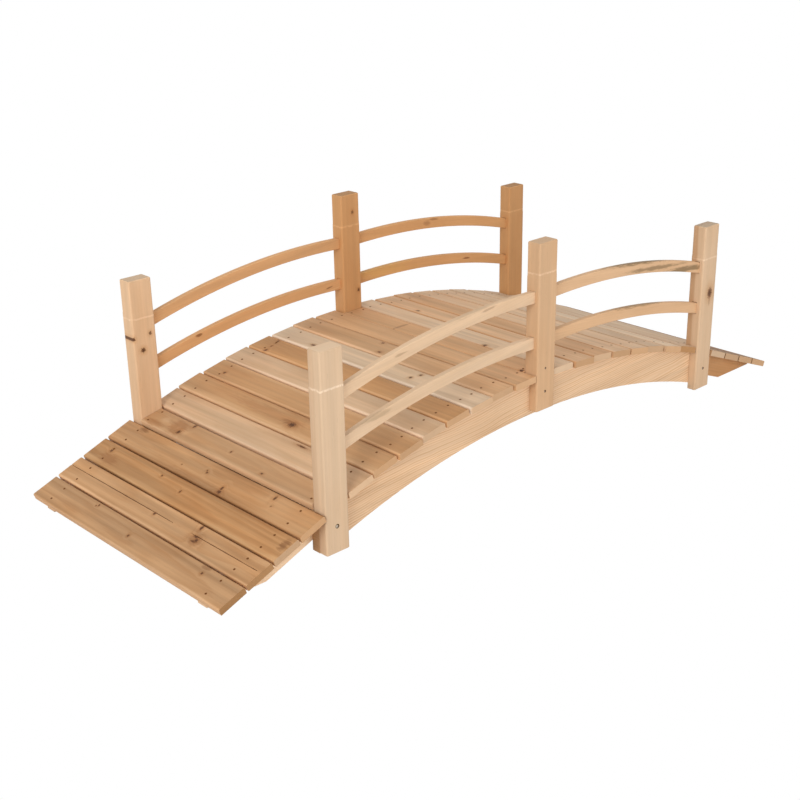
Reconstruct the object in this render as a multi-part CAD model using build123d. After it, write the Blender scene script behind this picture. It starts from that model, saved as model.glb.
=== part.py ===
from build123d import *
import math
import os

# Garden moon bridge: an arched deck on two side beams, with ramps, posts and railings.
# X runs along the bridge, Y across it and Z up. The origin is on the ground, under mid-span.
# All lengths are in millimetres and all angles in degrees.

# Width of the bridge and the arch of the deck
bridge_width = 919.0        # length of a ramp board
deck_radius = 2519.0        # top of the deck boards
deck_crown = 315.0          # height of the deck at mid-span

# Side beams
beam_thickness = 32.0
beam_depth = 112.0          # at mid-span
beam_setback = 32.5         # from a ramp board's end to the beam's outer face
arch_radius = 2490.0        # lower edge of a beam
seat_angle = 12.0           # slope of the straight seat at a beam's end
beam_edge = 4.0             # rounding of the upright inner edges at a beam's ends

# Posts
post_spacing = 826.7        # from a middle post to an end post
post_width = 80.0           # along the bridge
post_thickness = 50.0       # across the bridge
post_lap = 29.5             # thickness of the lap on the beam's outer face
post_edge = 6.0             # rounding of the upright edges
middle_post_rise = 400.0    # from the deck's crown to the top
middle_post_hem = 15.0      # from the beam's lower edge up to the foot
end_post_rise = 454.0       # from the beam's end seat to the top
end_post_foot = 33.0        # from the ground to the foot and to the level end of a beam's arch
post_head_length = 105.0    # narrower head, over a bevelled shoulder
post_head_inset = 0.7
post_shoulder_bevel = 8.0
post_top_edge = 2.5
post_foot_edge = 1.5

# Rails
rail_radius = 2345.0        # upper edge of a rail
rail_height = 36.0
rail_thickness = 19.0
rail_edge = 3.0
rail_middle_rise = 115.0    # from the deck's crown to the lower rail at the middle post
rail_end_rise = 194.0       # from the beam's end seat to the lower rail at the end post
rail_spacing = 140.5        # from the lower rail to the upper one
tenon_length = 15.0
mortise_floor_gap = 1.0     # behind the end of a rail
mortise_headroom = 0.6      # open slot over the end of a rail

# Boards
board_width = 89.0
board_thickness = 20.0
board_edge = 4.5            # rounding of the long upper edges
board_ease = 1.5            # rounding of the long lower edges
board_least_gap = 5.0       # between deck boards; the bay takes as many boards as fit
deck_board_inset = 6.5      # from a ramp board's end to a deck board's end
deck_board_wander = 3.5     # how far a deck board lies off the middle line
end_clearance = 1.5         # from a short board's end to a post

# Ramps
ramp_board_count = 4
ramp_gap = 6.0
ramp_tip_width = 87.0       # the lowest board
ramp_tip_lift = 6.5         # from the ground to that board's lower edge
ramp_step = 11.5            # from the beam's end seat down to the ramp boards' underside
ramp_clearance = 0.3        # from the highest board's rounded edge to the beam's end
stringer_thickness = 38.0
stringer_depth = 74.0
stringer_lap = 110.0        # along the beam's inner face
stringer_setback = 9.0      # from the ramp's tip to the stringer's blunt end

# Crack along one board of the left ramp, in two stretches
split_board = 3             # number of that board, from the deck
split_width = 1.6
split_depth = 7.0
split_offset = 6.0          # from the board's middle towards the deck
split_far_end = -72.0       # where the stretch from the far end closes
split_near_start = -160.0   # where the near stretch opens
split_stop = 14.0           # from that stretch to the board's near end

# Fits and cuts
seat_gap = 0.2              # between pieces that bear on each other
overrun = 30.0              # how far a cutting shape passes the wood
wander_turn = 137.5         # turn from one board to the next in the wander
mid_share = 0.5             # a board's middle, as a share of its place

# Across the bridge, from the middle line
beam_outer = bridge_width / 2 - beam_setback
beam_inner = beam_outer - beam_thickness
post_outer = beam_outer + post_lap
post_inner = post_outer - post_thickness
post_middle = (post_outer + post_inner) / 2

# Along the bridge, from mid-span
bay_start = post_width / 2
bay_end = post_spacing - post_width / 2
beam_end = post_spacing + post_width / 2


def arc_height(x, crown, radius):
    return crown - radius + math.sqrt(radius**2 - x**2)


# Heights over the ground
seat_slope = math.tan(math.radians(seat_angle))
beam_top_radius = deck_radius - board_thickness - seat_gap
beam_top_crown = deck_crown - board_thickness - seat_gap
arch_crown = beam_top_crown - beam_depth
bay_end_height = arc_height(bay_end, beam_top_crown, beam_top_radius)
beam_end_height = bay_end_height - seat_slope * post_width
rail_middle_height = deck_crown + rail_middle_rise
rail_end_height = beam_end_height + rail_end_rise

# Ramp: the boards' underside runs from the start down to the tip
ramp_widths = [board_width] * (ramp_board_count - 1) + [ramp_tip_width]
ramp_length = sum(ramp_widths) + ramp_gap * (ramp_board_count - 1)
ramp_head_height = beam_end_height - ramp_step
ramp_turn = math.asin((ramp_head_height - ramp_tip_lift) / ramp_length)
ramp_angle = math.degrees(ramp_turn)
ramp_cos = math.cos(ramp_turn)
ramp_sin = math.sin(ramp_turn)
ramp_start = beam_end + ramp_clearance + board_ease * (1 - ramp_cos - ramp_sin)
ramp_tip = ramp_start + ramp_length * ramp_cos + board_thickness * ramp_sin


# Solid of a face drawn in X and Z, from one Y to another
def between(face, low, high):
    return Pos(0, high, 0) * extrude(Plane.XZ * face, amount=high - low)


# A solid made for the far side, and its mirror image for the near side
def on_both_sides(solid):
    return {"far": solid, "near": mirror(solid, about=Plane.XZ)}


# Arched top of a beam, with the straight seats of the end boards
def beam_top_edges(end, end_height):
    return [
        Line((-end, end_height), (-bay_end, bay_end_height)),
        ThreePointArc((-bay_end, bay_end_height), (0, beam_top_crown), (bay_end, bay_end_height)),
        Line((bay_end, bay_end_height), (end, end_height)),
    ]


# The arch runs out in a level toe at each end, at the height of the end posts' feet
def make_beam():
    low = arc_height(beam_end, arch_crown, arch_radius)
    outline = beam_top_edges(beam_end, beam_end_height) + [
        Line((beam_end, beam_end_height), (beam_end, low)),
        ThreePointArc((beam_end, low), (0, arch_crown), (-beam_end, low)),
        Line((-beam_end, low), (-beam_end, beam_end_height)),
    ]
    beam = between(make_face(outline), beam_inner, beam_outer)
    inner_edges = beam.edges().filter_by(Axis.Z).sort_by(Axis.Y)[:2]
    beam = fillet(inner_edges, beam_edge)
    toe_depth = beam_depth + overrun
    toe_room = Box(2 * (beam_end + overrun), bridge_width, toe_depth)
    return beam - Pos(0, 0, end_post_foot - toe_depth / 2) * toe_room


# Room for the beam in the inner half of every post on the far side
def make_lap_cutter():
    end = beam_end + overrun
    end_height = beam_end_height - seat_slope * overrun
    outline = beam_top_edges(end, end_height) + [
        Line((end, end_height), (end, -overrun)),
        Line((end, -overrun), (-end, -overrun)),
        Line((-end, -overrun), (-end, end_height)),
    ]
    cutter = between(make_face(outline), post_inner - overrun, beam_outer + seat_gap)
    return Pos(0, 0, seat_gap) * cutter


# One rail is an arc through its two ends at the post faces, made for the bay on the +X side
def rail_centre(middle_height):
    run = bay_end - bay_start
    drop = rail_middle_height - rail_end_height
    chord = math.hypot(run, drop)
    sink = math.sqrt(rail_radius**2 - (chord / 2) ** 2)
    x = (bay_start + bay_end) / 2 - sink * drop / chord
    z = middle_height - drop / 2 - sink * run / chord
    return x, z


# A rounded section turned about the arc's centre, so that its ends are cut square
def make_rail(middle_height):
    centre_x, centre_z = rail_centre(middle_height)
    section = RectangleRounded(rail_thickness, rail_height, rail_edge)
    profile = Plane.YZ * Pos(post_middle, rail_radius - rail_height / 2) * section
    first_x = bay_start - tenon_length - centre_x
    last_x = bay_end + tenon_length - centre_x
    first = math.degrees(math.asin(first_x / rail_radius))
    last = math.degrees(math.asin(last_x / rail_radius))
    bent = revolve(Rot(0, first, 0) * profile, axis=Axis.Y, revolution_arc=last - first)
    return Pos(centre_x, 0, centre_z) * bent


def rail_heights(x, middle_height):
    centre_x, centre_z = rail_centre(middle_height)
    top = centre_z + math.sqrt(rail_radius**2 - (x - centre_x) ** 2)
    low = centre_z + math.sqrt((rail_radius - rail_height) ** 2 - (x - centre_x) ** 2)
    return low, top


# Slot for a rail's end, sloping as the rail does: inward is the direction into the post
def make_mortise(face_x, inward, middle_height):
    depth = tenon_length + mortise_floor_gap
    inner_x = face_x + inward * depth
    low, top = rail_heights(inner_x, middle_height)
    face_top = rail_heights(face_x, middle_height)[1]
    slope = (top - face_top) / (inner_x - face_x)
    length = depth + overrun
    x = inner_x - inward * length / 2
    z = (low - seat_gap + top + mortise_headroom) / 2 + slope * (x - inner_x)
    slot = Box(length, rail_thickness + 2 * seat_gap, top - low + seat_gap + mortise_headroom)
    return Pos(x, post_middle, z) * Rot(0, -math.degrees(math.atan(slope)), 0) * slot


def make_post(top, foot):
    shoulder = top - post_head_length
    section = RectangleRounded(post_width, post_thickness, post_edge)
    head_section = RectangleRounded(
        post_width - 2 * post_head_inset,
        post_thickness - 2 * post_head_inset,
        post_edge - post_head_inset,
    )
    shaft = Pos(0, 0, foot) * extrude(section, amount=shoulder - foot)
    shaft = chamfer(shaft.edges().group_by(Axis.Z)[0], post_foot_edge)
    lean = math.degrees(math.atan2(post_head_inset, post_shoulder_bevel))
    bevel = Pos(0, 0, shoulder) * extrude(section, amount=post_shoulder_bevel, taper=lean)
    head_low = shoulder + post_shoulder_bevel
    head = Pos(0, 0, head_low) * extrude(head_section, amount=top - head_low)
    head = chamfer(head.edges().group_by(Axis.Z)[-1], post_top_edge)
    return shaft + bevel + head


def make_board(width, length):
    board = Box(width, length, board_thickness)
    board = fillet(board.edges().filter_by(Axis.Y).group_by(Axis.Z)[-1], board_edge)
    return fillet(board.edges().filter_by(Axis.Y).group_by(Axis.Z)[0], board_ease)


def split(board):
    half_length = bridge_width / 2
    stretches = (
        (split_far_end, half_length + overrun),
        (split_stop - half_length, split_near_start),
    )
    for low, high in stretches:
        slot = Box(split_width, high - low, 2 * split_depth)
        board -= Pos(split_offset, (low + high) / 2, board_thickness / 2) * slot
    return board


# Place a board by the middle of its underside, tilted down towards +X
def lay_board(board, x, z, tilt, shift=0):
    lift = board_thickness / 2 + seat_gap
    return Pos(x, shift, z) * Rot(0, tilt, 0) * Pos(0, 0, lift) * board


# Sloping bearer of one ramp, on the +X side of the far beam. Beside the beam its top follows the seat.
def make_stringer():
    slope = ramp_sin / ramp_cos
    under_head = ramp_head_height - stringer_depth / ramp_cos
    inner = beam_end - stringer_lap
    outer = ramp_tip - stringer_setback
    lap = ramp_start - inner
    outline = Polyline(
        (inner, ramp_head_height + seat_slope * lap),
        (ramp_start, ramp_head_height),
        (outer, ramp_head_height - slope * (outer - ramp_start)),
        (outer, 0),
        (ramp_start + under_head / slope, 0),
        (inner, under_head + slope * lap),
        close=True,
    )
    high = beam_inner - seat_gap
    return between(make_face(outline), high - stringer_thickness, high)


pieces = {}

# Side beams and ramp stringers
for side, beam in on_both_sides(make_beam()).items():
    pieces[f"beam_{side}"] = beam
for side, stringer in on_both_sides(make_stringer()).items():
    pieces[f"ramp_stringer_right_{side}"] = stringer
    pieces[f"ramp_stringer_left_{side}"] = mirror(stringer, about=Plane.YZ)

# Rails, with the mortises that take their ends
levels = {"lower": rail_middle_height, "upper": rail_middle_height + rail_spacing}
bay_mortises = []
for level, height in levels.items():
    for side, rail in on_both_sides(make_rail(height)).items():
        pieces[f"rail_{level}_right_{side}"] = rail
        pieces[f"rail_{level}_left_{side}"] = mirror(rail, about=Plane.YZ)
    bay_mortises += [make_mortise(bay_start, -1, height), make_mortise(bay_end, 1, height)]
mortises = bay_mortises + [mirror(cutter, about=Plane.YZ) for cutter in bay_mortises]

# Posts
lap_cutter = make_lap_cutter()
end_post_top = beam_end_height + end_post_rise
post_sizes = {
    "left": (-post_spacing, end_post_top, end_post_foot),
    "middle": (0, deck_crown + middle_post_rise, arch_crown + middle_post_hem),
    "right": (post_spacing, end_post_top, end_post_foot),
}
for place, (x, top, foot) in post_sizes.items():
    post = Pos(x, post_middle, 0) * make_post(top, foot) - lap_cutter - mortises
    for side, solid in on_both_sides(post).items():
        pieces[f"post_{place}_{side}"] = solid

# Deck boards, evenly spaced along the arch between the posts
first_turn = math.asin(bay_start / deck_radius)
last_turn = math.asin(bay_end / deck_radius)
bay_length = (last_turn - first_turn) * deck_radius
bay_board_count = int(bay_length / (board_width + board_least_gap))
board_turn = (last_turn - first_turn) / bay_board_count
deck_board = make_board(board_width, bridge_width - 2 * deck_board_inset)
for index in range(bay_board_count):
    turn = first_turn + (index + mid_share) * board_turn
    x = beam_top_radius * math.sin(turn)
    z = arc_height(x, beam_top_crown, beam_top_radius)
    for place, sign in (("right", 1), ("left", -1)):
        wander = math.sin(math.radians(wander_turn * (index * sign + sign)))
        board = lay_board(
            deck_board, sign * x, z, sign * math.degrees(turn), deck_board_wander * wander
        )
        pieces[f"deck_board_{place}_{index + 1}"] = board

# Short boards between the posts: one level at mid-span and one on each beam-end seat
short_board = make_board(post_width, 2 * (post_inner - end_clearance))
pieces["deck_board_middle"] = lay_board(short_board, 0, beam_top_crown, 0)
seat_height = (bay_end_height + beam_end_height) / 2
for place, sign in (("right", 1), ("left", -1)):
    board = lay_board(short_board, sign * post_spacing, seat_height, sign * seat_angle)
    pieces[f"deck_board_{place}_end"] = board

# Ramp boards, numbered from the deck down to the tip
along = 0
for index, width in enumerate(ramp_widths):
    middle = along + width / 2
    x = ramp_start + middle * ramp_cos
    z = ramp_head_height - middle * ramp_sin
    ramp_board = make_board(width, bridge_width)
    pieces[f"ramp_board_right_{index + 1}"] = lay_board(ramp_board, x, z, ramp_angle)
    if index + 1 == split_board:
        ramp_board = split(ramp_board)
    pieces[f"ramp_board_left_{index + 1}"] = lay_board(ramp_board, -x, z, -ramp_angle)
    along += width + ramp_gap

os.makedirs("parts", exist_ok=True)
for name, solid in pieces.items():
    export_step(solid, f"parts/{name}.step")
print(len(pieces), "pieces, length", round(2 * ramp_tip, 1))
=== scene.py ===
import math
import bpy
from mathutils import Euler, Matrix, Vector


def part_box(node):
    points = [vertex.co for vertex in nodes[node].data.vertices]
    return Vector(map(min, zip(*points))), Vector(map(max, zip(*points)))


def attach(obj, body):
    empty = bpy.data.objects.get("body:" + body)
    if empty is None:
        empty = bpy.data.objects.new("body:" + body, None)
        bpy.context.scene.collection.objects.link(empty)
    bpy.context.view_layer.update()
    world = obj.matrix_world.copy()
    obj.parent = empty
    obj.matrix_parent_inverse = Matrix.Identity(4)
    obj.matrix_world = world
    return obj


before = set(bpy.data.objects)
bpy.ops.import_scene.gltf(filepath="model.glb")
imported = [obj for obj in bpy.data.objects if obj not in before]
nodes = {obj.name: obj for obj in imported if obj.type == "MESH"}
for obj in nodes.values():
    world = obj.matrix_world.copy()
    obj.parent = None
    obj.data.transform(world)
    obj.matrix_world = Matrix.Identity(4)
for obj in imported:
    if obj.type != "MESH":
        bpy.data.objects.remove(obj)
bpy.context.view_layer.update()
print("frame loaded:", len(nodes), "nodes")

mm = 0.001


def put(tree, socket, value):  # link a socket or set a plain value
    if isinstance(value, bpy.types.NodeSocket):
        tree.links.new(value, socket)
    else:
        socket.default_value = value


def calc(tree, operation, *values):
    node = tree.nodes.new("ShaderNodeMath")
    node.operation = operation
    for socket, value in zip(node.inputs, values):
        put(tree, socket, value)
    return node.outputs[0]


def ramp(tree, value, fromLow, fromHigh, toLow=0.0, toHigh=1.0):
    node = tree.nodes.new("ShaderNodeMapRange")
    node.interpolation_type = "SMOOTHSTEP"
    for socket, setting in zip(node.inputs, (value, fromLow, fromHigh, toLow, toHigh)):
        put(tree, socket, setting)
    return node.outputs[0]


def join(tree, x, y, z):
    node = tree.nodes.new("ShaderNodeCombineXYZ")
    for socket, value in zip(node.inputs, (x, y, z)):
        put(tree, socket, value)
    return node.outputs[0]


def length(tree, x, y):
    square = calc(tree, "ADD", calc(tree, "MULTIPLY", x, x), calc(tree, "MULTIPLY", y, y))
    return calc(tree, "SQRT", square)


def parts(tree, vector):
    node = tree.nodes.new("ShaderNodeSeparateXYZ")
    put(tree, node.inputs[0], vector)
    return node.outputs


def noise(tree, vector, detail=2.0, roughness=0.5):
    node = tree.nodes.new("ShaderNodeTexNoise")
    put(tree, node.inputs["Vector"], vector)
    node.inputs["Scale"].default_value = 1.0
    node.inputs["Detail"].default_value = detail
    node.inputs["Roughness"].default_value = roughness
    return node.outputs["Fac"]


def mixed(tree, factor, first, second, blend="MIX"):
    node = tree.nodes.new("ShaderNodeMix")
    node.data_type = "RGBA"
    node.blend_type = blend
    for index, value in ((0, factor), (6, first), (7, second)):  # sockets of a colour mix
        put(tree, node.inputs[index], value)
    return node.outputs[2]


def tint(red, green, blue):  # screen colour to linear
    def linear(value):
        value /= 255
        return value / 12.92 if value <= 0.04045 else ((value + 0.055) / 1.055) ** 2.4
    return (linear(red), linear(green), linear(blue), 1.0)


def newGroup(name, inputs, outputs):
    group = bpy.data.node_groups.new(name, "ShaderNodeTree")
    for label, kind in inputs:
        group.interface.new_socket(name=label, in_out="INPUT", socket_type="NodeSocket" + kind)
    for label in outputs:
        group.interface.new_socket(name=label, in_out="OUTPUT", socket_type="NodeSocketFloat")
    return group, group.nodes.new("NodeGroupInput").outputs, group.nodes.new("NodeGroupOutput").inputs


def useGroup(tree, group, values):
    node = tree.nodes.new("ShaderNodeGroup")
    node.node_tree = group
    for label, value in values.items():
        put(tree, node.inputs[label], value)
    return node.outputs


ringGrain = {"driftAcross": 4.0, "driftAlong": 2.3, "secondSeed": 31.7, "raggedAcross": 160.0,
             "raggedAlong": 9.0, "raggedShare": 0.35, "rise": (0.2, 0.85), "fall": (0.86, 1.0)}


def makeRingGroup():  # growth rings round a pith line beside the piece, grain along local Y
    group, given, made = newGroup(
        "growthRings",
        [("Place", "Vector"), ("Pith X", "Float"), ("Pith Z", "Float"), ("Lean X", "Float"),
         ("Lean Z", "Float"), ("Ring Width", "Float"), ("Wobble", "Float"), ("Seed", "Float"),
         ("Pull", "Float")],
        ["Late", "Ring Tone"])
    x, y, z = parts(group, given["Place"])
    along = calc(group, "MULTIPLY_ADD", y, ringGrain["driftAlong"], given["Seed"])

    def drift(shift):  # slow wander of the pith along the grain
        seed = calc(group, "ADD", given["Seed"], shift)
        place = join(group, calc(group, "MULTIPLY_ADD", x, ringGrain["driftAcross"], seed), along,
                     calc(group, "MULTIPLY", z, ringGrain["driftAcross"]))
        return calc(group, "MULTIPLY", calc(group, "SUBTRACT", noise(group, place), 0.5), given["Wobble"])

    def offset(value, pith, lean, shift):
        centred = calc(group, "SUBTRACT", value, given[pith])
        leaning = calc(group, "MULTIPLY", y, given[lean])
        return calc(group, "ADD", calc(group, "SUBTRACT", centred, leaning), drift(shift))

    fromX = offset(x, "Pith X", "Lean X", 0.0)
    fromZ = offset(z, "Pith Z", "Lean Z", ringGrain["secondSeed"])
    distance = calc(group, "ADD", length(group, fromX, fromZ), given["Pull"])
    ragged = noise(group, join(group, calc(group, "MULTIPLY", x, ringGrain["raggedAcross"]),
                               calc(group, "MULTIPLY", y, ringGrain["raggedAlong"]),
                               calc(group, "MULTIPLY", z, ringGrain["raggedAcross"])))
    rings = calc(group, "ADD", calc(group, "DIVIDE", distance, given["Ring Width"]),
                 calc(group, "MULTIPLY", ragged, ringGrain["raggedShare"]))
    share = calc(group, "FRACT", rings)
    rise = ramp(group, share, *ringGrain["rise"])
    fall = ramp(group, share, *ringGrain["fall"], 1.0, 0.0)
    put(group, made["Late"], calc(group, "MULTIPLY", rise, fall))
    year = group.nodes.new("ShaderNodeTexWhiteNoise")
    year.noise_dimensions = "1D"
    put(group, year.inputs["W"], calc(group, "FLOOR", rings))
    put(group, made["Ring Tone"], year.outputs["Value"])
    return group


fibreKinds = {  # noise scale across and along the grain, and its detail
    "Fibre": (700.0, 16.0, 3.0), "Streak": (95.0, 2.4, 3.0), "Broad": (34.0, 1.6, 1.0),
    "Blotch": (11.0, 3.6, 2.0), "Pores": (420.0, 30.0, 1.0)}
fibreRoughness = 0.6
poreEdge = (0.66, 0.74)


def makeFibreGroup():  # fibre, streaks and blotches, all drawn out along the grain
    group, given, made = newGroup("woodFibre", [("Place", "Vector"), ("Seed", "Float")], list(fibreKinds))
    x, y, z = parts(group, given["Place"])
    for kind, (across, along, detail) in fibreKinds.items():
        place = join(group, calc(group, "MULTIPLY_ADD", x, across, given["Seed"]),
                     calc(group, "MULTIPLY_ADD", y, along, given["Seed"]),
                     calc(group, "MULTIPLY", z, across))
        drawn = noise(group, place, detail, fibreRoughness)
        put(group, made[kind], ramp(group, drawn, *poreEdge) if kind == "Pores" else drawn)
    return group


raggedDetail = 3.0
knotShape = {"raggedAcross": 260.0, "raggedAlong": 220.0, "raggedReach": 1.8, "pullFall": -0.16,
             "pullReach": 1.5}
knotZones = {"Core": (0.7, 1.2), "Halo": (0.9, 2.8), "Eye": (0.3, 0.9)}  # where each fades, in radii


def makeKnotGroup():  # one knot that runs through the thickness of a piece
    group, given, made = newGroup(
        "woodKnot",
        [("Place", "Vector"), ("Centre X", "Float"), ("Centre Y", "Float"), ("Radius", "Float"),
         ("Stretch", "Float"), ("Dark", "Float")],
        ["Pull", *knotZones])
    x, y = parts(group, given["Place"])[:2]
    ragged = noise(group, join(group, calc(group, "MULTIPLY", x, knotShape["raggedAcross"]),
                               calc(group, "MULTIPLY", y, knotShape["raggedAlong"]), 0.0), raggedDetail)
    fromX = calc(group, "SUBTRACT", x, given["Centre X"])
    fromY = calc(group, "DIVIDE", calc(group, "SUBTRACT", y, given["Centre Y"]), given["Stretch"])
    spread = calc(group, "DIVIDE", length(group, fromX, fromY), given["Radius"])
    reach = knotShape["raggedReach"]
    spread = calc(group, "ADD", spread, calc(group, "MULTIPLY_ADD", ragged, reach, -reach / 2))
    fall = calc(group, "MULTIPLY", calc(group, "MULTIPLY", spread, spread), knotShape["pullFall"])
    most = calc(group, "MULTIPLY", given["Radius"], knotShape["pullReach"])
    put(group, made["Pull"], calc(group, "MULTIPLY", calc(group, "EXPONENT", fall), most))
    for label, (low, high) in knotZones.items():
        shown = ramp(group, spread, low, high, 1.0, 0.0)
        put(group, made[label], calc(group, "MULTIPLY", shown, given["Dark"]))
    return group


patchShape = {"raggedScale": (170.0, 34.0, 170.0), "raggedReach": 1.4, "edge": (0.45, 1.15)}


def makePatchGroup():  # egg-shaped zone with a ragged edge
    group, given, made = newGroup(
        "woodPatch", [("Place", "Vector"), ("Centre", "Vector"), ("Size", "Vector")], ["Mask"])

    def vector(operation, first, second=(0.0, 0.0, 0.0)):
        node = group.nodes.new("ShaderNodeVectorMath")
        node.operation = operation
        put(group, node.inputs[0], first)
        put(group, node.inputs[1], second)
        return node.outputs

    away = vector("SUBTRACT", given["Place"], given["Centre"])["Vector"]
    away = vector("DIVIDE", away, given["Size"])["Vector"]
    ragged = vector("MULTIPLY", given["Place"], patchShape["raggedScale"])["Vector"]
    ragged = noise(group, ragged, raggedDetail)
    reach = patchShape["raggedReach"]
    wander = calc(group, "MULTIPLY_ADD", ragged, reach, -reach / 2)
    spread = calc(group, "ADD", vector("LENGTH", away)["Value"], wander)
    put(group, made["Mask"], ramp(group, spread, *patchShape["edge"], 1.0, 0.0))
    return group


ringGroup = makeRingGroup()
fibreGroup = makeFibreGroup()
knotGroup = makeKnotGroup()
patchGroup = makePatchGroup()
print("shader groups made")

sapWood = tint(226, 196, 163)
heartWood = tint(190, 141, 92)
knotCore = tint(128, 80, 43)
knotEye = tint(72, 41, 21)
lateWood = (0.80, 0.69, 0.56, 1.0)  # this and the rest multiply the colour below them
blushWood = (0.90, 0.82, 0.72, 1.0)
paleBand = (1.14, 1.24, 1.38, 1.0)
# darker wood tone in patches; along board edges beside a gap it is painted shade
darkToneAndShade = (0.78, 0.66, 0.56, 1.0)
brownMark = (0.42, 0.32, 0.25, 1.0)
greyStain = (0.60, 0.58, 0.52, 1.0)
oliveCast = (0.98, 1.03, 0.84, 1.0)
# pale torn fibres at a post's shoulder, with a painted highlight where the ledge catches the light
tornFibreAndHighlight = (1.3, 1.42, 1.6, 1.0)
# painted highlight: paler rounded board edges, where they face the light
edgeHighlight = (1.34, 1.46, 1.66, 1.0)
deepStain = (0.42, 0.42, 0.36, 1.0)
knotHalo = (0.80, 0.64, 0.48, 1.0)


def woodTint(age, shade):  # between sapwood at 0 and heartwood at 1
    mix = [(sap + (heart - sap) * age) * shade for sap, heart in zip(sapWood[:3], heartWood[:3])]
    return (*mix, 1.0)


knotSize = 1.25  # of all knots together
plainLook = {"age": 0.6, "shade": 1.0, "end": (0.5, 0.95), "endShare": 0.7, "contrast": 0.20, "blush": 0.5,
             "streak": 0.24, "broad": 0.50, "fibre": 0.10, "seed": 1.0, "pith": (0.0, -60.0), "ring": 8.0,
             "wobble": 18.0, "lean": (0.01, 0.01), "bands": (), "knots": (), "patches": (), "shoulder": None}
finish = {"roughness": 0.62, "specular": 0.28, "bump": 0.2, "bumpDepth": 0.4 * mm, "lateSunk": -0.4,
          "pores": -0.08, "blotch": (0.40, 0.72), "lateTone": (0.7, 0.35), "endFacing": (0.75, 0.95),
          "bandReach": 1.6, "halo": 0.5, "core": 0.8, "eye": 0.85}
shoulderLine = {"scale": 110.0, "reach": 8.0 * mm, "edge": (1.2 * mm, 4.2 * mm), "gaps": (0.32, 0.56), "least": 0.35}


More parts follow.
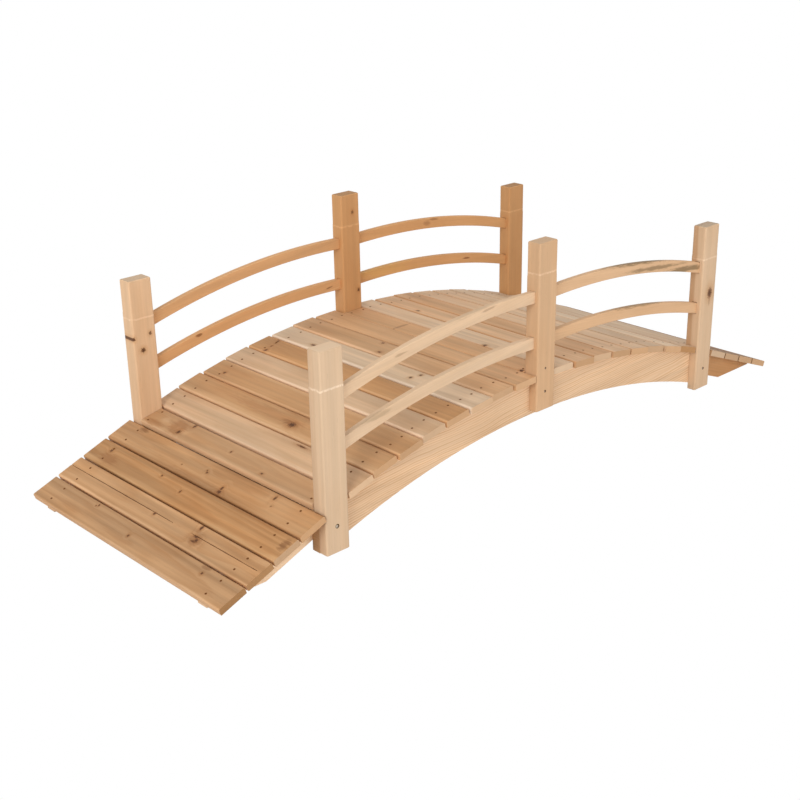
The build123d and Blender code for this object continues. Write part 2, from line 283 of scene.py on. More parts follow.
def makeWood(name, place, turn, look):  # turn makes local X across, Y along the grain and Z through
    material = bpy.data.materials.new("wood_" + name)
    material.use_nodes = True
    tree = material.node_tree
    surface = tree.nodes["Principled BSDF"]
    mapping = tree.nodes.new("ShaderNodeMapping")
    mapping.vector_type = "TEXTURE"
    mapping.inputs["Location"].default_value = place
    mapping.inputs["Rotation"].default_value = turn
    coordinates = tree.nodes.new("ShaderNodeTexCoord")
    tree.links.new(coordinates.outputs["Object"], mapping.inputs["Vector"])
    local = mapping.outputs["Vector"]

    pull, core, halo, eye = 0.0, 0.0, 0.0, 0.0
    for knotX, knotY, radius, stretch, dark in look["knots"]:
        knot = useGroup(tree, knotGroup, {
            "Place": local, "Centre X": knotX * mm, "Centre Y": knotY * mm,
            "Radius": radius * knotSize * mm, "Stretch": stretch, "Dark": dark})
        pull = calc(tree, "ADD", pull, knot["Pull"])
        core = calc(tree, "MAXIMUM", core, knot["Core"])
        halo = calc(tree, "MAXIMUM", halo, knot["Halo"])
        eye = calc(tree, "MAXIMUM", eye, knot["Eye"])

    rings = useGroup(tree, ringGroup, {
        "Place": local, "Pith X": look["pith"][0] * mm, "Pith Z": look["pith"][1] * mm,
        "Lean X": look["lean"][0], "Lean Z": look["lean"][1], "Ring Width": look["ring"] * mm,
        "Wobble": look["wobble"] * mm, "Seed": look["seed"], "Pull": pull})
    fibre = useGroup(tree, fibreGroup, {"Place": local, "Seed": look["seed"]})

    ringTone = calc(tree, "MULTIPLY_ADD", rings["Ring Tone"], *finish["lateTone"])
    late = calc(tree, "MULTIPLY", rings["Late"], ringTone)
    colour = mixed(tree, calc(tree, "MULTIPLY", late, look["contrast"]),
                   woodTint(look["age"], look["shade"]), lateWood, "MULTIPLY")
    blush = ramp(tree, fibre["Blotch"], *finish["blotch"])
    colour = mixed(tree, calc(tree, "MULTIPLY", blush, look["blush"]), colour, blushWood, "MULTIPLY")
    shade = calc(tree, "MULTIPLY_ADD", fibre["Pores"], finish["pores"], 1.0)
    for kind in ("Streak", "Broad", "Fibre"):
        strength = look[kind.lower()]
        drawn = calc(tree, "MULTIPLY_ADD", fibre[kind], strength, 1.0 - strength / 2)
        shade = calc(tree, "MULTIPLY", shade, drawn)
    colour = mixed(tree, 1.0, colour, join(tree, shade, shade, shade), "MULTIPLY")

    axes = parts(tree, local)
    for axis, start, full, tone, share in look["bands"]:
        reach = finish["bandReach"] * abs(full - start) * mm
        wander = calc(tree, "MULTIPLY_ADD", fibre["Blotch"], reach, -reach / 2)
        mask = ramp(tree, calc(tree, "ADD", axes[axis], wander), start * mm, full * mm)
        colour = mixed(tree, calc(tree, "MULTIPLY", mask, share), colour, tone, "MULTIPLY")
    for patchCentre, patchSize, tone, share in look["patches"]:
        patch = useGroup(tree, patchGroup, {
            "Place": local, "Centre": [value * mm for value in patchCentre],
            "Size": [value * mm for value in patchSize]})
        colour = mixed(tree, calc(tree, "MULTIPLY", patch["Mask"], share), colour, tone, "MULTIPLY")
    if look["shoulder"]:  # pale line along the shoulder of a post: torn fibres, and a painted highlight where its ledge catches the light
        ragged = noise(tree, join(tree, calc(tree, "MULTIPLY", axes[0], shoulderLine["scale"]), look["seed"],
                                  calc(tree, "MULTIPLY", axes[2], shoulderLine["scale"])), raggedDetail)
        height, strength = look["shoulder"]
        above = calc(tree, "MULTIPLY_ADD", ragged, shoulderLine["reach"], axes[1])
        above = calc(tree, "ABSOLUTE", calc(tree, "SUBTRACT", above, height * mm + shoulderLine["reach"] / 2))
        mask = calc(tree, "MULTIPLY", ramp(tree, above, *shoulderLine["edge"], strength, 0.0),
                    ramp(tree, ragged, *shoulderLine["gaps"], shoulderLine["least"], 1.0))
        colour = mixed(tree, mask, colour, tornFibreAndHighlight, "MULTIPLY")
    if look["knots"]:
        colour = mixed(tree, calc(tree, "MULTIPLY", halo, finish["halo"]), colour, knotHalo, "MULTIPLY")
        colour = mixed(tree, calc(tree, "MULTIPLY", core, finish["core"]), colour, knotCore)
        colour = mixed(tree, calc(tree, "MULTIPLY", eye, finish["eye"]), colour, knotEye)

    geometry = tree.nodes.new("ShaderNodeNewGeometry")
    facing = tree.nodes.new("ShaderNodeVectorMath")
    facing.operation = "DOT_PRODUCT"
    tree.links.new(geometry.outputs["Normal"], facing.inputs[0])
    facing.inputs[1].default_value = Euler(turn).to_matrix() @ Vector((0.0, 1.0, 0.0))
    endGrain = ramp(tree, calc(tree, "ABSOLUTE", facing.outputs["Value"]), *finish["endFacing"])
    endGrain = calc(tree, "MULTIPLY", endGrain, look["endShare"])
    colour = mixed(tree, endGrain, colour, woodTint(*look["end"]))

    bump = tree.nodes.new("ShaderNodeBump")
    bump.inputs["Strength"].default_value = finish["bump"]
    bump.inputs["Distance"].default_value = finish["bumpDepth"]
    put(tree, bump.inputs["Height"], calc(tree, "MULTIPLY_ADD", late, finish["lateSunk"], fibre["Fibre"]))
    tree.links.new(bump.outputs["Normal"], surface.inputs["Normal"])
    tree.links.new(colour, surface.inputs["Base Color"])
    surface.inputs["Roughness"].default_value = finish["roughness"]
    surface.inputs["Specular IOR Level"].default_value = finish["specular"]
    return material


def dress(name, place, turn, look):
    data = nodes[name].data
    data.materials.clear()
    data.materials.append(makeWood(name, place, turn, {**plainLook, **look}))


def centre(name):
    low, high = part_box(name)
    return (low + high) / 2


def dressAll(pieces, baseOf, turnOf, firstSeed, seedStep):
    for index, (name, look) in enumerate(pieces.items()):
        seed = index * seedStep + firstSeed
        dress(name, centre(name), turnOf(name), {**baseOf(name), "seed": seed, **look})


leastUp = 0.5  # normal of a face that looks up
leastOut = 0.9  # normal of a face that looks out of a post


def facesUp(face):
    return face.normal.z > leastUp


def topFace(name):  # normal of a board's flat top and its distance from the origin
    data = nodes[name].data
    top = max(data.polygons, key=lambda face: face.area * facesUp(face))
    normal = top.normal.copy()
    return normal, normal.dot(data.vertices[top.vertices[0]].co)


def boardTurn(name):
    normal = topFace(name)[0]
    return (0.0, math.atan2(normal.x, normal.z), 0.0)


# Sizes in mm from the middle of the board, x across it and y along its grain. A band has an axis, where
# it starts and is full, tone and share; a knot x, y, radius, stretch along the grain and darkness; a
# patch its middle, half size, tone and share.
# painted highlight along the front edge of a board
highlitFront = ((0, -35.0, -40.0, edgeHighlight, 0.75),)
# painted shade along the front edge of a board, beside the gap
gapShadeFront = ((0, -39.0, -43.5, darkToneAndShade, 0.9),)
boards = {
    "ramp_board_left_4": {
        "age": 0.81, "shade": 0.92, "end": (1.09, 0.67), "pith": (-14.0, -70.0),
        "bands": ((0, -36.0, -42.0, edgeHighlight, 0.8), (0, 38.0, 44.0, darkToneAndShade, 0.3)),
        "knots": ((33.0, 206.0, 3.6, 0.8, 1.0), (27.0, 214.0, 2.4, 1.0, 0.7), (0.6, 10.1, 4.0, 0.8, 1.0),
                  (17.1, -312.0, 3.8, 1.0, 1.0)),
        "patches": (((37.0, -308.0, 8.0), (8.0, 22.0, 12.0), brownMark, 0.5),)},
    "ramp_board_left_3": {
        "age": 0.82, "shade": 1.04, "end": (1.01, 0.74), "pith": (10.0, -90.0),
        "bands": ((0, -36.0, -41.0, edgeHighlight, 0.5), (0, 39.0, 44.0, darkToneAndShade, 0.3)),
        "knots": ((34.0, -171.0, 8.0, 0.6, 1.0), (-5.9, -196.0, 7.0, 0.9, 0.9),
                  (-12.0, -190.0, 4.0, 2.4, 0.8), (3.0, -184.0, 4.0, 2.6, 0.8), (1.5, 11.3, 4.0, 1.0, 1.0)),
        "patches": (((-6.0, -192.0, 8.0), (26.0, 30.0, 14.0), brownMark, 0.3),
                    ((6.0, 200.0, 9.0), (2.4, 290.0, 14.0), brownMark, 0.6),
                    ((6.0, -300.0, 9.0), (2.4, 150.0, 14.0), brownMark, 0.6))},
    "ramp_board_left_2": {
        "age": 0.97, "shade": 0.93, "end": (0.48, 0.84), "pith": (-20.0, -48.0),
        "bands": ((0, -24.0, -36.0, paleBand, 1.0), (0, 34.0, 42.0, darkToneAndShade, 0.4)),
        "knots": ((20.5, 127.3, 3.6, 0.9, 1.0), (3.7, 14.6, 4.6, 0.6, 1.0), (15.2, 386.8, 5.5, 1.0, 0.8)),
        "patches": (((12.0, -440.0, 6.0), (26.0, 16.0, 14.0), brownMark, 0.65),
                    ((-12.0, 360.0, 8.0), (22.0, 50.0, 14.0), darkToneAndShade, 0.7))},
    "ramp_board_left_1": {
        "age": 0.86, "shade": 0.98, "end": (0.76, 1.04), "pith": (24.0, -75.0),
        "bands": ((0, -37.0, -44.0, darkToneAndShade, 0.4), (0, 39.0, 44.0, darkToneAndShade, 0.3)),
        "knots": ((0.5, 3.4, 3.6, 1.0, 0.9), (7.0, 10.0, 2.8, 1.0, 0.8), (-22.0, -95.0, 7.0, 0.55, 1.0),
                  (-36.0, -99.0, 6.0, 1.4, 0.9), (26.0, -276.0, 7.5, 0.5, 0.9), (-2.0, -290.0, 3.0, 1.0, 0.5),
                  (-11.5, 109.7, 2.2, 1.0, 0.7)),
        "patches": (((34.0, 366.0, 8.0), (14.0, 24.0, 12.0), brownMark, 0.7),
                    ((-30.0, 40.0, 8.0), (10.0, 140.0, 12.0), darkToneAndShade, 0.4))},
    "deck_board_left_end": {
        "age": 0.78, "shade": 0.98, "pith": (-6.0, -44.0), "wobble": 30.0,
        "bands": ((0, -26.0, -38.0, edgeHighlight, 0.7), (0, 34.0, 41.0, edgeHighlight, 0.4)),
        "knots": ((-16.3, 237.3, 8.0, 0.8, 0.95), (30.0, 217.0, 7.5, 0.6, 1.0), (2.0, 1.5, 4.0, 0.8, 1.0),
                  (-20.3, -167.7, 3.4, 1.4, 0.9)),
        "patches": (((2.0, 262.0, 8.0), (40.0, 42.0, 16.0), darkToneAndShade, 0.9),
                    ((-26.0, 350.0, 8.0), (16.0, 50.0, 14.0), darkToneAndShade, 0.8),
                    ((4.0, 330.0, 8.0), (14.0, 22.0, 14.0), paleBand, 0.8))},
    "deck_board_left_8": {
        "age": 0.45, "shade": 1.04, "end": (0.34, 1.06), "pith": (30.0, -60.0),
        "bands": ((0, -30.0, -40.0, edgeHighlight, 0.4), (0, 14.0, 28.0, darkToneAndShade, 0.3)),
        "knots": ((32.0, -172.0, 3.0, 6.0, 0.95),)},
    "deck_board_left_7": {
        "age": 0.87, "shade": 1.03, "end": (0.72, 1.00), "pith": (18.0, -52.0), "wobble": 30.0,
        "bands": ((0, -14.0, -30.0, paleBand, 0.8), (0, -35.0, -40.0, edgeHighlight, 0.5),
                  (0, 30.0, 42.0, darkToneAndShade, 0.4)),
        "knots": ((-4.5, -64.6, 9.5, 1.2, 1.0),),
        "patches": (((0.0, -52.0, 8.0), (13.0, 44.0, 14.0), brownMark, 0.45),
                    ((8.0, 60.0, 8.0), (20.0, 200.0, 14.0), darkToneAndShade, 0.5))},
    "deck_board_left_6": {
        "age": 0.87, "shade": 1.03, "end": (0.70, 0.91), "pith": (-18.0, -64.0),
        "bands": ((0, 22.0, 34.0, paleBand, 0.7), *highlitFront),
        "knots": ((-11.9, 381.3, 4.4, 1.0, 1.0),)},
    "deck_board_left_5": {
        "age": 0.36, "shade": 1.00, "end": (0.38, 0.89), "pith": (8.0, -80.0),
        "bands": highlitFront},
    "deck_board_left_4": {
        "age": 0.95, "shade": 1.02, "end": (0.67, 0.98), "pith": (-26.0, -58.0), "wobble": 30.0,
        "bands": highlitFront,
        "knots": ((-34.0, 376.0, 6.5, 0.7, 1.0), (-4.0, 383.0, 4.6, 0.6, 0.9), (18.0, 388.0, 3.6, 0.6, 0.9),
                  (31.6, 392.0, 4.6, 0.8, 1.0))},
    "deck_board_left_3": {
        "age": -0.03, "shade": 0.93, "end": (0.55, 1.03), "pith": (14.0, -90.0),
        "bands": highlitFront,
        "knots": ((-3.9, -163.8, 5.2, 0.9, 1.0), (25.5, -178.5, 4.8, 0.9, 1.0),
                  (-18.0, 271.8, 4.6, 2.0, 0.9))},
    "deck_board_left_2": {
        "age": 0.70, "shade": 1.05, "end": (0.61, 0.90), "pith": (-22.0, -70.0),
        "bands": highlitFront,
        "knots": ((-25.2, 46.6, 5.0, 1.2, 0.9), (32.0, 91.7, 5.0, 1.0, 0.8))},
    "deck_board_left_1": {"age": 0.72, "shade": 1.14, "end": (0.67, 1.06), "pith": (12.0, -58.0)},
    "deck_board_middle": {
        "age": 0.76, "shade": 1.14, "pith": (-8.0, -84.0), "knots": ((-35.9, -391.7, 6.0, 1.0, 1.0),),
        "patches": (((-6.0, 164.0, 10.0), (44.0, 7.0, 12.0), brownMark, 0.55),)},
    "deck_board_right_1": {
        "age": 0.08, "shade": 1.00, "end": (0.15, 0.95), "pith": (20.0, -66.0),
        "knots": ((-36.6, -162.9, 6.0, 1.2, 1.0),), "bands": gapShadeFront},
    "deck_board_right_2": {
        "age": 0.52, "shade": 1.15, "end": (0.82, 0.90), "pith": (-16.0, -60.0),
        "knots": ((-25.8, 254.9, 6.0, 1.0, 0.9),), "bands": gapShadeFront},
    "deck_board_right_3": {
        "age": 0.68, "shade": 1.08, "end": (0.36, 0.93), "pith": (6.0, -74.0), "bands": gapShadeFront},
    "deck_board_right_4": {
        "age": 0.30, "shade": 1.11, "end": (0.82, 0.88), "pith": (-30.0, -62.0), "bands": gapShadeFront},
    "deck_board_right_5": {
        "age": 0.25, "shade": 1.07, "end": (0.80, 1.07), "pith": (16.0, -88.0), "bands": gapShadeFront},
    "deck_board_right_6": {
        "age": 0.04, "shade": 0.95, "end": (0.65, 0.91), "pith": (-10.0, -54.0), "bands": gapShadeFront},
    "deck_board_right_7": {
        "age": -0.15, "shade": 0.96, "end": (0.83, 1.08), "pith": (24.0, -70.0), "bands": gapShadeFront},
    "deck_board_right_8": {
        "age": 0.10, "shade": 0.94, "end": (1.16, 0.91), "pith": (-24.0, -66.0), "bands": gapShadeFront},
    "deck_board_right_end": {"age": -0.08, "shade": 0.92, "pith": (4.0, -58.0)},
    "ramp_board_right_1": {"age": 0.73, "shade": 0.83, "end": (0.16, 0.86), "pith": (12.0, -64.0)},
    "ramp_board_right_2": {"age": 0.84, "shade": 0.51, "end": (0.54, 0.90), "pith": (-18.0, -72.0)},
    "ramp_board_right_3": {"age": 0.83, "shade": 0.58, "end": (0.65, 0.98), "pith": (22.0, -56.0)},
    "ramp_board_right_4": {"age": 0.95, "shade": 0.60, "end": (0.66, 1.03), "pith": (-8.0, -80.0)},
}
boardLook = {"end": (0.3, 1.0), "endShare": 0.85, "contrast": 0.26, "streak": 0.3, "broad": 0.56}
rampLook = {**boardLook, "contrast": 0.5, "blush": 0.9, "streak": 0.46, "broad": 0.8}
dressAll(boards, lambda name: rampLook if "ramp" in name else boardLook, boardTurn,
         firstSeed=2.0, seedStep=7.3)
print("boards dressed:", len(boards))

posts = {  # knots: x and height in mm from the post's middle; shoulder: its height from there and strength
    "post_left_near": {
        "age": 0.11, "shade": 0.92, "end": (0.04, 1.12), "pith": (-70.0, 60.0), "shoulder": (181.0, 0.9),
        "bands": ((2, 2.0, -6.0, darkToneAndShade, 0.25),)},
    "post_middle_near": {
        "age": 0.55, "shade": 1.03, "end": (0.34, 0.89), "pith": (60.0, 70.0), "shoulder": (167.0, 0.7)},
    "post_right_near": {
        "age": 0.22, "shade": 0.95, "end": (-0.40, 0.52), "pith": (-40.0, 60.0), "shoulder": (176.0, 0.6),
        "bands": ((2, 0.0, -8.0, darkToneAndShade, 0.8),), "knots": ((8.1, 53.9, 11.0, 1.4, 0.95),),
        "patches": (((8.0, 28.0, 25.0), (4.0, 22.0, 10.0), brownMark, 0.5),)},
    "post_left_far": {
        "age": 0.39, "shade": 1.14, "end": (-0.07, 0.74), "pith": (50.0, 50.0), "shoulder": (168.5, 0.5),
        "knots": ((-9.3, 68.4, 6.5, 1.0, 1.0), (19.4, 115.9, 4.4, 1.2, 0.75), (-38.0, 108.0, 4.6, 1.2, 0.9))},
    "post_middle_far": {
        "age": 0.96, "shade": 1.17, "end": (1.06, 0.70), "pith": (-60.0, 60.0), "shoulder": (154.0, 0.6),
        "knots": ((26.0, -74.6, 4.6, 1.3, 0.9), (9.1, 198.0, 4.4, 1.3, 0.7))},
    "post_right_far": {
        "age": 0.97, "shade": 1.09, "end": (1.12, 0.65), "pith": (40.0, 70.0), "shoulder": (193.0, 0.7)},
}
postTurn = (math.radians(90.0), 0.0, 0.0)  # grain along Z
postLook = {"contrast": 0.08, "blush": 0.35, "streak": 0.16, "broad": 0.24, "fibre": 0.06, "ring": 9.0}
dressAll(posts, lambda name: postLook, lambda name: postTurn, firstSeed=90.0, seedStep=5.1)

sawnTurn = (0.0, 0.0, math.radians(-90.0))  # grain along X, local X across it


def sloped(name, degrees):  # down towards the piece's end of the bridge
    tilt = math.radians(degrees if "right" in name else -degrees)
    return (Matrix.Rotation(tilt, 3, "Y") @ Euler(sawnTurn).to_matrix()).to_euler()


beams = {
    "beam_near": {"age": 0.23, "shade": 1.13, "pith": (20.0, -70.0), "lean": (0.02, 0.07)},
    "beam_far": {"age": 0.60, "shade": 0.96, "pith": (-30.0, -80.0), "lean": (-0.02, 0.05)},
}
beamLook = {"contrast": 1.0, "blush": 0.4, "streak": 0.3, "broad": 0.3, "ring": 7.0, "wobble": 54.0,
            "end": (0.9, 0.75)}
dressAll(beams, lambda name: beamLook, lambda name: sawnTurn, firstSeed=140.0, seedStep=9.0)

stringers = {
    "ramp_stringer_left_near": {"age": -0.15, "shade": 1.29},
    "ramp_stringer_left_far": {"age": 0.4, "shade": 1.0},
    "ramp_stringer_right_near": {"age": 0.94, "shade": 1.30},
    "ramp_stringer_right_far": {"age": 0.6, "shade": 0.95},
}
stringerLook = {"contrast": 0.3, "pith": (60.0, -80.0)}
stringerSlope = 21.0  # degrees
dressAll(stringers, lambda name: stringerLook, lambda name: sloped(name, stringerSlope),
         firstSeed=170.0, seedStep=4.0)

rails = {  # patches: middle, half size (across, along, up), tone and share
    "rail_upper_left_near": {
        "age": 0.17, "shade": 1.03,
        "patches": (((0.0, 120.0, 45.0), (14.0, 180.0, 6.0), greyStain, 0.35),
                    ((9.5, -160.0, 29.0), (6.0, 30.0, 4.0), brownMark, 0.45),
                    ((9.5, 184.0, 35.0), (6.0, 36.0, 4.0), brownMark, 0.5))},
    "rail_lower_left_near": {
        "age": 0.11, "shade": 0.99, "patches": (((9.5, -255.0, 29.0), (14.0, 60.0, 9.0), greyStain, 0.45),)},
    "rail_upper_right_near": {
        "age": 0.54, "shade": 1.11,
        "patches": (((0.0, 60.0, 47.0), (14.0, 220.0, 9.0), deepStain, 1.0),
                    ((9.5, 130.0, 23.0), (14.0, 150.0, 8.0), deepStain, 0.85),
                    ((9.5, 300.0, 3.0), (14.0, 130.0, 11.0), deepStain, 1.0))},
    "rail_lower_right_near": {
        "age": 0.58, "shade": 1.11, "patches": (((0.0, 80.0, 47.0), (14.0, 200.0, 8.0), deepStain, 0.8),)},
    "rail_upper_left_far": {"age": 0.87, "shade": 1.25},
    "rail_lower_left_far": {
        "age": 0.91, "shade": 1.32,
        "patches": (((9.5, -208.0, 32.0), (8.0, 14.0, 6.0), brownMark, 0.9),
                    ((9.5, 323.0, 6.0), (6.0, 18.0, 4.0), brownMark, 0.8),
                    ((9.5, 310.0, -6.0), (10.0, 60.0, 5.0), paleBand, 0.8))},
    "rail_upper_right_far": {
        "age": 0.96, "shade": 1.28,
        "patches": (((9.5, -47.0, 32.0), (8.0, 20.0, 10.0), brownMark, 0.45),
                    ((9.5, -15.0, 43.0), (8.0, 24.0, 5.0), brownMark, 0.6))},
    "rail_lower_right_far": {
        "age": 0.97, "shade": 1.30,
        "patches": (((9.5, 157.0, 26.0), (6.0, 20.0, 4.0), brownMark, 1.0),
                    ((0.0, -270.0, 25.0), (20.0, 180.0, 40.0), oliveCast, 0.8))},
}
railLook = {"contrast": 0.14, "blush": 0.3, "streak": 0.2, "broad": 0.3, "ring": 7.0, "pith": (30.0, -50.0),
            "end": (0.4, 0.9)}
railSlope = 6.4  # degrees, of the arc's chord
dressAll(rails, lambda name: railLook, lambda name: sloped(name, railSlope), firstSeed=200.0, seedStep=6.0)
print("posts, beams and rails dressed")


def plainMaterial(name, colour, metallic, roughness, specular=0.5):
    material = bpy.data.materials.new(name)
    material.use_nodes = True
    surface = material.node_tree.nodes["Principled BSDF"]
    surface.inputs["Base Color"].default_value = colour
    surface.inputs["Metallic"].default_value = metallic
    surface.inputs["Roughness"].default_value = roughness
    surface.inputs["Specular IOR Level"].default_value = specular
    return material


def newPiece(name, material):  # empty mesh at the origin, filled in edit mode
    bpy.ops.object.select_all(action="DESELECT")
    bpy.ops.object.add(type="MESH", location=(0.0, 0.0, 0.0))
    piece = bpy.context.object
    piece.name = name
    piece.data.materials.append(material)
    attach(piece, "root")
    return piece


def shapeFaces(piece, picked, rim, depth):  # inset the picked faces one by one, pushed out or in
    bpy.ops.object.mode_set(mode="EDIT")
    bpy.ops.mesh.select_mode(type="FACE")
    bpy.ops.mesh.select_all(action="DESELECT")
    bpy.ops.object.mode_set(mode="OBJECT")
    for face in piece.data.polygons:
        face.select = picked(face)
    bpy.ops.object.mode_set(mode="EDIT")
    bpy.ops.mesh.inset(thickness=rim, depth=depth, use_individual=True)
    bpy.ops.object.mode_set(mode="OBJECT")


def facesOut(face):  # outer face of a screw or its hole, on either side of the bridge
    return abs(face.normal.y) > leastOut and face.normal.y * face.center.y > 0


nail = {"radius": 3.5 * mm, "proud": 0.25 * mm, "sunk": 2.0 * mm, "sides": 12, "rim": 1.3 * mm,
        "crown": 0.2 * mm}
nailRows = {"across": 24.0, "outer": 391.0, "inner": 384.0, "strayX": 2.5, "strayY": 3.0}  # in mm
nailPhase = {"boardX": 2.1, "cornerX": 1.7, "boardY": 1.3, "cornerY": 1.0}  # no two boards stray alike
nailCorners = ((-1, -1), (1, -1), (-1, 1), (1, 1))
# nail heads are coloured dark brown as painted shade of the sunk nail holes
nailHoleShade = plainMaterial("nail", tint(112, 70, 38), metallic=0.0, roughness=0.9, specular=0.1)
nails = newPiece("board_nails", nailHoleShade)
bpy.ops.object.mode_set(mode="EDIT")
for index, name in enumerate(boards):
    normal, distance = topFace(name)
    turn = Euler(boardTurn(name))
    middle = centre(name)
    line = nailRows["inner" if any(word in name for word in ("ramp", "end", "middle")) else "outer"]
    for corner, (sideX, sideY) in enumerate(nailCorners):
        phaseX = index * nailPhase["boardX"] + corner * nailPhase["cornerX"]
        phaseY = index * nailPhase["boardY"] + corner * nailPhase["cornerY"]
        strayX = nailRows["strayX"] * math.sin(phaseX)
        strayY = nailRows["strayY"] * math.cos(phaseY)
        local = Vector((sideX * nailRows["across"] + strayX, sideY * line + strayY, 0.0))
        spot = middle + turn.to_matrix() @ (local * mm)
        spot += normal * (distance - normal.dot(spot) + (nail["proud"] - nail["sunk"]) / 2)
        bpy.ops.mesh.primitive_cylinder_add(
            vertices=nail["sides"], radius=nail["radius"], depth=nail["proud"] + nail["sunk"],
            location=spot, rotation=turn)
bpy.ops.object.mode_set(mode="OBJECT")
shapeFaces(nails, facesUp, nail["rim"], nail["crown"])
print("board nails:", len(boards) * len(nailCorners))

screw = {"deep": 0.4 * mm, "proud": 0.3 * mm, "sides": 24, "lip": 0.5 * mm, "dish": 0.25 * mm,
         "drive": 0.1 * mm, "taper": 0.75, "aside": 0.7}
screwPlaces = {  # shift from the post's middle and height in mm, radius of the hole and of the head
    "left": ((-2.0, 111.0, 6.4, 4.3),),
    "middle": ((-4.0, 330.5, 3.3, 1.5), (-3.0, 256.5, 3.9, 1.5)),
    "right": ((1.0, 104.0, 4.6, 2.0),)}
screwSpots = []
for place, spots in screwPlaces.items():
    for side, outward in (("near", -1), ("far", 1)):
        low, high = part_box("post_" + place + "_" + side)
        faceY = low.y if side == "near" else high.y
        for shift, height, hole, head in spots:
            spot = Vector(((low.x + high.x) / 2 + shift * mm, faceY, height * mm))
            screwSpots.append((spot, outward, hole * mm, head * mm))
# screw holes: partly darkened wood, partly painted shade of the countersunk recess
holeShade = plainMaterial("screw_hole", tint(82, 56, 34), metallic=0.0, roughness=0.9, specular=0.1)
holes = newPiece("screw_holes", holeShade)
bpy.ops.object.mode_set(mode="EDIT")
for spot, _, hole, _ in screwSpots:
    bpy.ops.mesh.primitive_cylinder_add(
        vertices=screw["sides"], radius=hole, depth=2 * screw["deep"], location=spot, rotation=postTurn)
bpy.ops.object.mode_set(mode="OBJECT")
shapeFaces(holes, facesOut, screw["lip"], -screw["dish"])
headSteel = plainMaterial("screw_steel", tint(178, 166, 148), metallic=1.0, roughness=0.35)
heads = newPiece("screw_heads", headSteel)
bpy.ops.object.mode_set(mode="EDIT")
for spot, outward, hole, head in screwSpots:
    aside = (head - hole) * screw["aside"]
    out = outward * (screw["deep"] - screw["dish"] + screw["proud"] / 2)
    bpy.ops.mesh.primitive_cone_add(
        vertices=screw["sides"], radius1=head, radius2=head * screw["taper"], depth=screw["proud"],
        location=spot + Vector((aside, out, 0.0)), rotation=(math.radians(-90.0 * outward), 0.0, 0.0))
bpy.ops.object.mode_set(mode="OBJECT")
shapeFaces(heads, facesOut, screw["lip"], -screw["drive"])
print("post screws:", len(screwSpots))

floorSize = 30.0
bpy.ops.object.select_all(action="DESELECT")
bpy.ops.mesh.primitive_plane_add(size=floorSize, location=(0.0, 0.0, 0.0))
floor = bpy.context.object
floor.name = "floor"
floorMaterial = bpy.data.materials.new("floor")
floorMaterial.use_nodes = True
floorTree = floorMaterial.node_tree
floorTree.nodes.remove(floorTree.nodes["Principled BSDF"])
pale = floorTree.nodes.new("ShaderNodeBsdfDiffuse")
white = floorTree.nodes.new("ShaderNodeEmission")
white.inputs["Color"].default_value = (1.0, 1.0, 1.0, 1.0)
floorPlace = floorTree.nodes.new("ShaderNodeTexCoord")
floorX, floorY = parts(floorTree, floorPlace.outputs["Object"])[:2]


def whenSeen(tree):  # 1 for camera, glossy and transmission rays
    path = tree.nodes.new("ShaderNodeLightPath")
    mirrored = calc(tree, "MAXIMUM", path.outputs["Is Glossy Ray"], path.outputs["Is Transmission Ray"])
    return calc(tree, "MAXIMUM", path.outputs["Is Camera Ray"], mirrored)


def zone(lowX, highX, lowY, highY, edgeX, edgeY):  # soft rectangle of floor in the bridge's shade
    mask = calc(floorTree, "MULTIPLY", ramp(floorTree, floorX, lowX - edgeX, lowX),
                ramp(floorTree, floorX, highX, highX + edgeX, 1.0, 0.0))
    mask = calc(floorTree, "MULTIPLY", mask, ramp(floorTree, floorY, lowY - edgeY, lowY))
    return calc(floorTree, "MULTIPLY", mask, ramp(floorTree, floorY, highY, highY + edgeY, 1.0, 0.0))


paleFloor = (0.88, 0.87, 0.86, 1.0)
slitShade = tint(152, 136, 124)
slitZones = ((-0.70, -0.66, -0.13, 0.30, 0.03, 0.03),  # seen between the deck and the left ramp
             (-0.72, -0.64, 0.10, 0.50, 0.08, 0.09))
shadeZones = ((-0.60, 0.60, 0.15, 0.40, 0.24, 0.24), (0.60, 0.74, 0.12, 0.46, 0.12, 0.12),
              (-1.12, -0.90, -0.24, 0.36, 0.07, 0.07), (0.90, 1.12, -0.24, 0.36, 0.07, 0.07))
slit = calc(floorTree, "MAXIMUM", *[zone(*place) for place in slitZones])
shaded = slit
for place in shadeZones:
    shaded = calc(floorTree, "MAXIMUM", shaded, zone(*place))
put(floorTree, pale.inputs["Color"], mixed(floorTree, slit, paleFloor, slitShade))
either = floorTree.nodes.new("ShaderNodeMixShader")
bare = calc(floorTree, "SUBTRACT", 1.0, shaded)
put(floorTree, either.inputs[0], calc(floorTree, "MULTIPLY", whenSeen(floorTree), bare))
floorTree.links.new(pale.outputs[0], either.inputs[1])
floorTree.links.new(white.outputs[0], either.inputs[2])
floorTree.links.new(either.outputs[0], floorTree.nodes["Material Output"].inputs["Surface"])
floor.data.materials.append(floorMaterial)

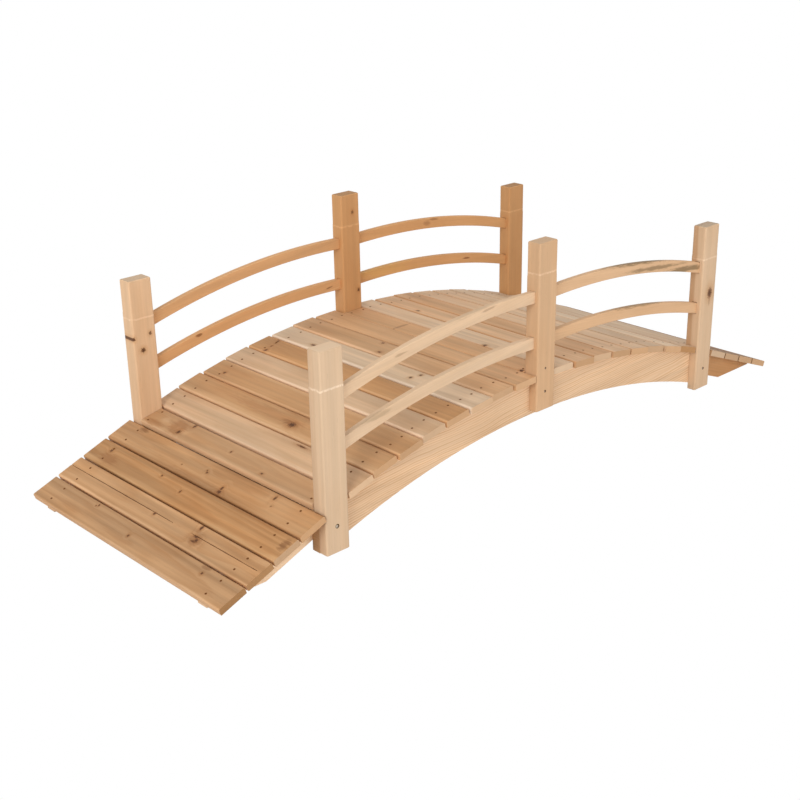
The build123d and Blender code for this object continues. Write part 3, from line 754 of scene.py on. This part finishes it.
skyStrength = 0.50
world = bpy.data.worlds.new("studio")
bpy.context.scene.world = world
world.use_nodes = True
sky = world.node_tree.nodes["Background"]
sky.inputs["Color"].default_value = (1.0, 1.0, 1.0, 1.0)
skyLevel = world.node_tree.nodes.new("ShaderNodeMapRange")
world.node_tree.links.new(whenSeen(world.node_tree), skyLevel.inputs["Value"])
skyLevel.inputs["To Min"].default_value = skyStrength
skyLevel.inputs["To Max"].default_value = 1.0
world.node_tree.links.new(skyLevel.outputs["Result"], sky.inputs["Strength"])

lookAt = Vector((0.0, 0.0, 0.3))
softBoxes = {
    "key": {"place": (-9.6, -3.8, 4.8), "size": 5.5, "power": 560.0},
    "fill": {"place": (1.0, -10.0, 1.8), "size": 5.5, "power": 310.0},
    "top": {"place": (0.8, 1.6, 9.2), "size": 6.0, "power": 120.0},
}
for name, box in softBoxes.items():
    bpy.ops.object.light_add(type="AREA", location=box["place"])
    lamp = bpy.context.object
    lamp.name = name
    lamp.data.shape = "DISK"
    lamp.data.size = box["size"]
    lamp.data.energy = box["power"]
    lamp.rotation_euler = (lookAt - Vector(box["place"])).to_track_quat("-Z", "Y").to_euler()
print("stage and lights set")

view = {"place": (-2.7823, -2.8020, 1.7019), "yaw": 47.003, "pitch": 22.086, "roll": 1.064,
        "sensor": 36.0, "lens": 58.64}  # as the photograph was taken
yaw, pitch, roll = (math.radians(view[angle]) for angle in ("yaw", "pitch", "roll"))
forward = Vector((math.cos(yaw) * math.cos(pitch), math.sin(yaw) * math.cos(pitch), -math.sin(pitch)))
level = Vector((math.sin(yaw), -math.cos(yaw), 0.0))
down = forward.cross(level)
right = level * math.cos(roll) + down * math.sin(roll)
up = level * math.sin(roll) - down * math.cos(roll)
bpy.ops.object.camera_add()
camera = bpy.context.object
turned = Matrix((right, up, -forward)).transposed().to_4x4()
camera.matrix_world = Matrix.Translation(Vector(view["place"])) @ turned
camera.data.sensor_width = view["sensor"]
camera.data.lens = view["lens"]
bpy.context.scene.camera = camera
bpy.context.scene.view_settings.view_transform = "Standard"
